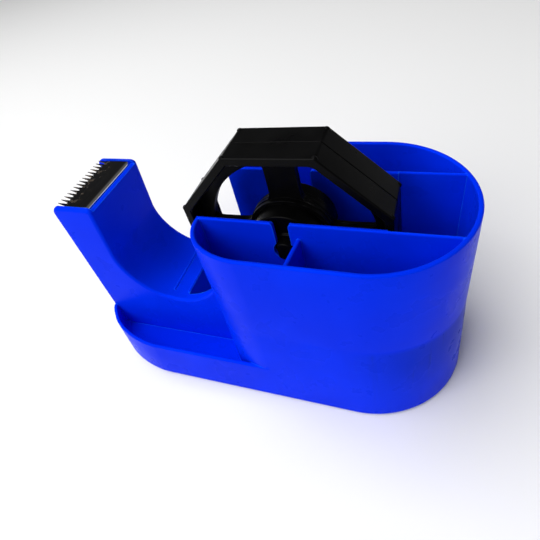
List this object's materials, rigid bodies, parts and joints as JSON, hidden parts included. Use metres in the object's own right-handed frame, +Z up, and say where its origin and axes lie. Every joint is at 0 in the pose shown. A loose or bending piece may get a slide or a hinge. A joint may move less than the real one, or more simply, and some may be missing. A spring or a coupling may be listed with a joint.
{
  "type": "desktop tape dispenser",
  "caption": "Desktop tape dispenser with a serrated blade, a lift-out hub for large or small cores, side trays and divided pen pods on both sides of the roll.",
  "frame": {"origin": "middle of the length and width, on the surface that the feet stand on", "axes": "-X towards the blade, +X towards the rear, +Y across, +Z up"},
  "size_m": [0.151, 0.0682, 0.1033],
  "materials": {
    "blue_plastic": "moulded, satin gloss",
    "black_plastic": "moulded, satin",
    "blade_steel": "bright rolled strip",
    "ballast_steel": "raw",
    "screw_steel": "zinc plated",
    "foot_rubber": "matt"
  },
  "bodies": {
    "body": {"body_shell": "blue_plastic", "blade": "blade_steel", "base_plate": "black_plastic", "base_screw_1": "screw_steel", "base_screw_2": "screw_steel", "base_screw_3": "screw_steel", "base_screw_4": "screw_steel", "base_screw_5": "screw_steel", "base_screw_6": "screw_steel", "foot_1": "foot_rubber", "foot_2": "foot_rubber", "foot_3": "foot_rubber", "foot_4": "foot_rubber", "ballast_block": "ballast_steel", "ballast_plate": "ballast_steel"},
    "spindle": {"spindle": "black_plastic"},
    "hub": {"drum_half_near": "black_plastic", "drum_half_far": "black_plastic", "adapter_half_near": "black_plastic", "adapter_half_far": "black_plastic"}
  },
  "joints": [
    {"name": "spindle_lift", "type": "slide", "parent": "body", "child": "spindle", "axis": [0, 0, 1], "range_m": [0, 0.056]},
    {"name": "hub_spin", "type": "hinge", "parent": "spindle", "child": "hub", "pos_m": [0.01655, -0.0041, 0.0672], "axis": [0, 1, 0], "continuous": true}
  ]
}
